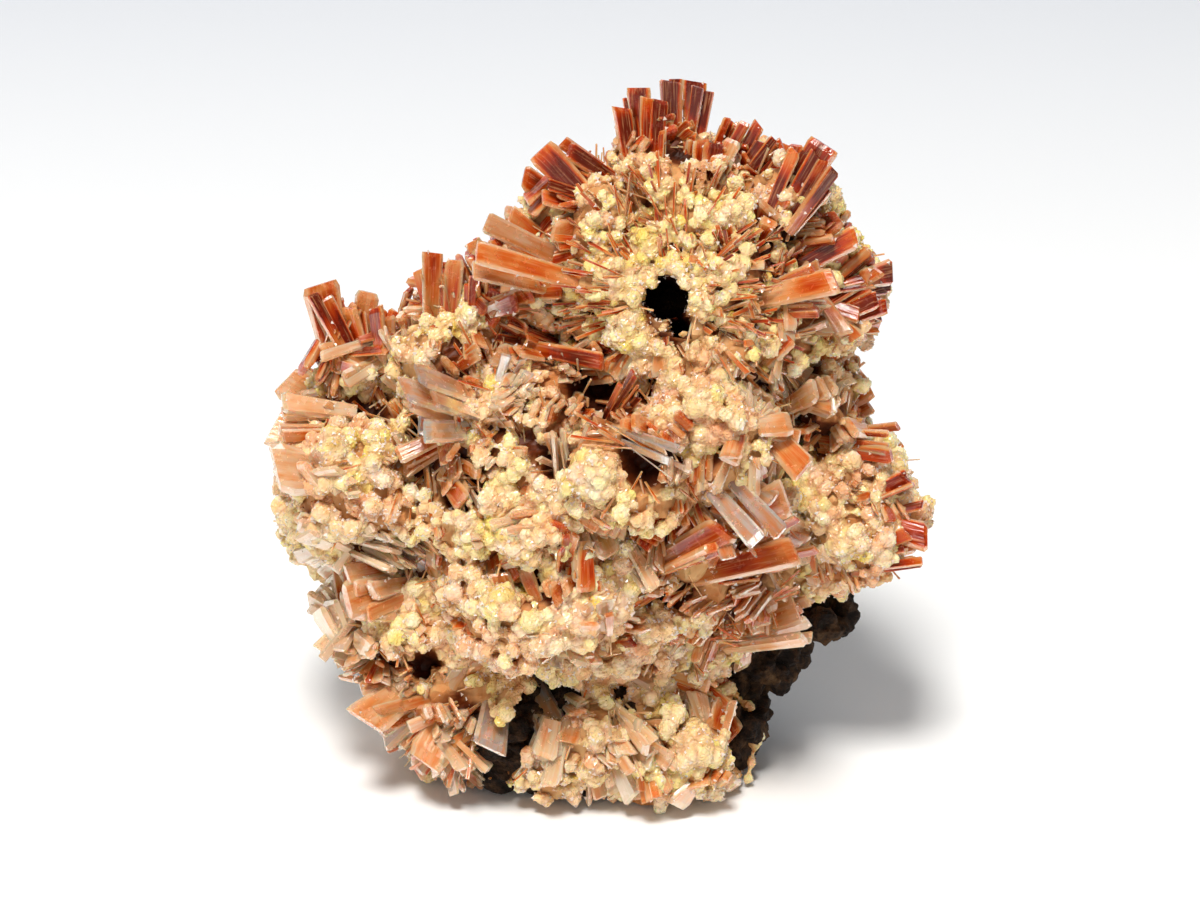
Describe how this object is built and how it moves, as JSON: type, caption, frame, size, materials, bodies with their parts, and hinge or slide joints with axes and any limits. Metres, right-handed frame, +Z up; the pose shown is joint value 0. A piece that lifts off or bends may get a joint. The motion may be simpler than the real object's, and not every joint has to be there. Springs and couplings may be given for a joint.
{
  "type": "hemimorphite specimen",
  "caption": "Crystal specimen with a crust of flat red-brown blades and rounded pale yellow clusters on a dark rough matrix, resting on one small flat spot.",
  "frame": {"origin": "middle of the small flat spot that the specimen rests on", "axes": "+Z up, the front with the pit and the large blades towards -Y, +X to the right of the front view"},
  "size_m": [0.0531, 0.0335, 0.0575],
  "materials": {
    "dark_matrix": "rough, porous, nearly black brown with small glints",
    "hemimorphite": "glassy translucent blades from clear to red-brown, with sugary cream and yellow clusters"
  },
  "bodies": {
    "root": {"matrix": "dark_matrix", "crystal_crust": "hemimorphite"}
  },
  "joints": []
}
